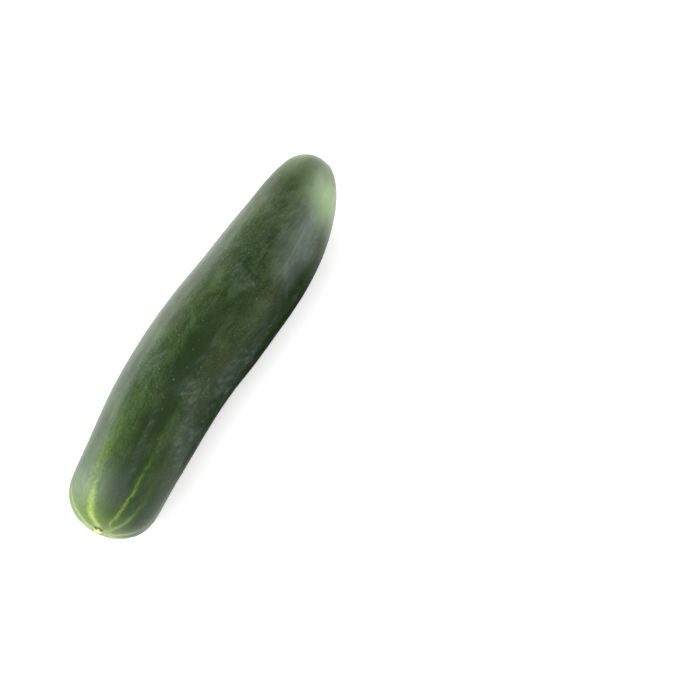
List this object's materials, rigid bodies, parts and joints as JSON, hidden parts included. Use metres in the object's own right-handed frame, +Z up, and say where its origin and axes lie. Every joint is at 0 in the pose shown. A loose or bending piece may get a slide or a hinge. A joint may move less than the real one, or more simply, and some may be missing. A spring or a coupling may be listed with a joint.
{
  "type": "cucumber",
  "caption": "Whole slicing cucumber as picked, lying on its side: blunt blossom end, gentle S bend, taper to a scarred stem end.",
  "frame": {"origin": "on the surface that the cucumber lies on, under the middle of its bounding box", "axes": "+X from the blossom end to the stem end, +Z up from the surface it lies on, +Y across it"},
  "size_m": [0.2182, 0.0554, 0.0495],
  "materials": {
    "skin": "waxy dark green cucumber skin, soft satin gloss, yellow-green streaks at the blossom end",
    "scar": "dry, matt, pale tan cork of the blossom scar and the stem scar"
  },
  "bodies": {
    "root": {"cucumber": "skin"}
  },
  "joints": []
}
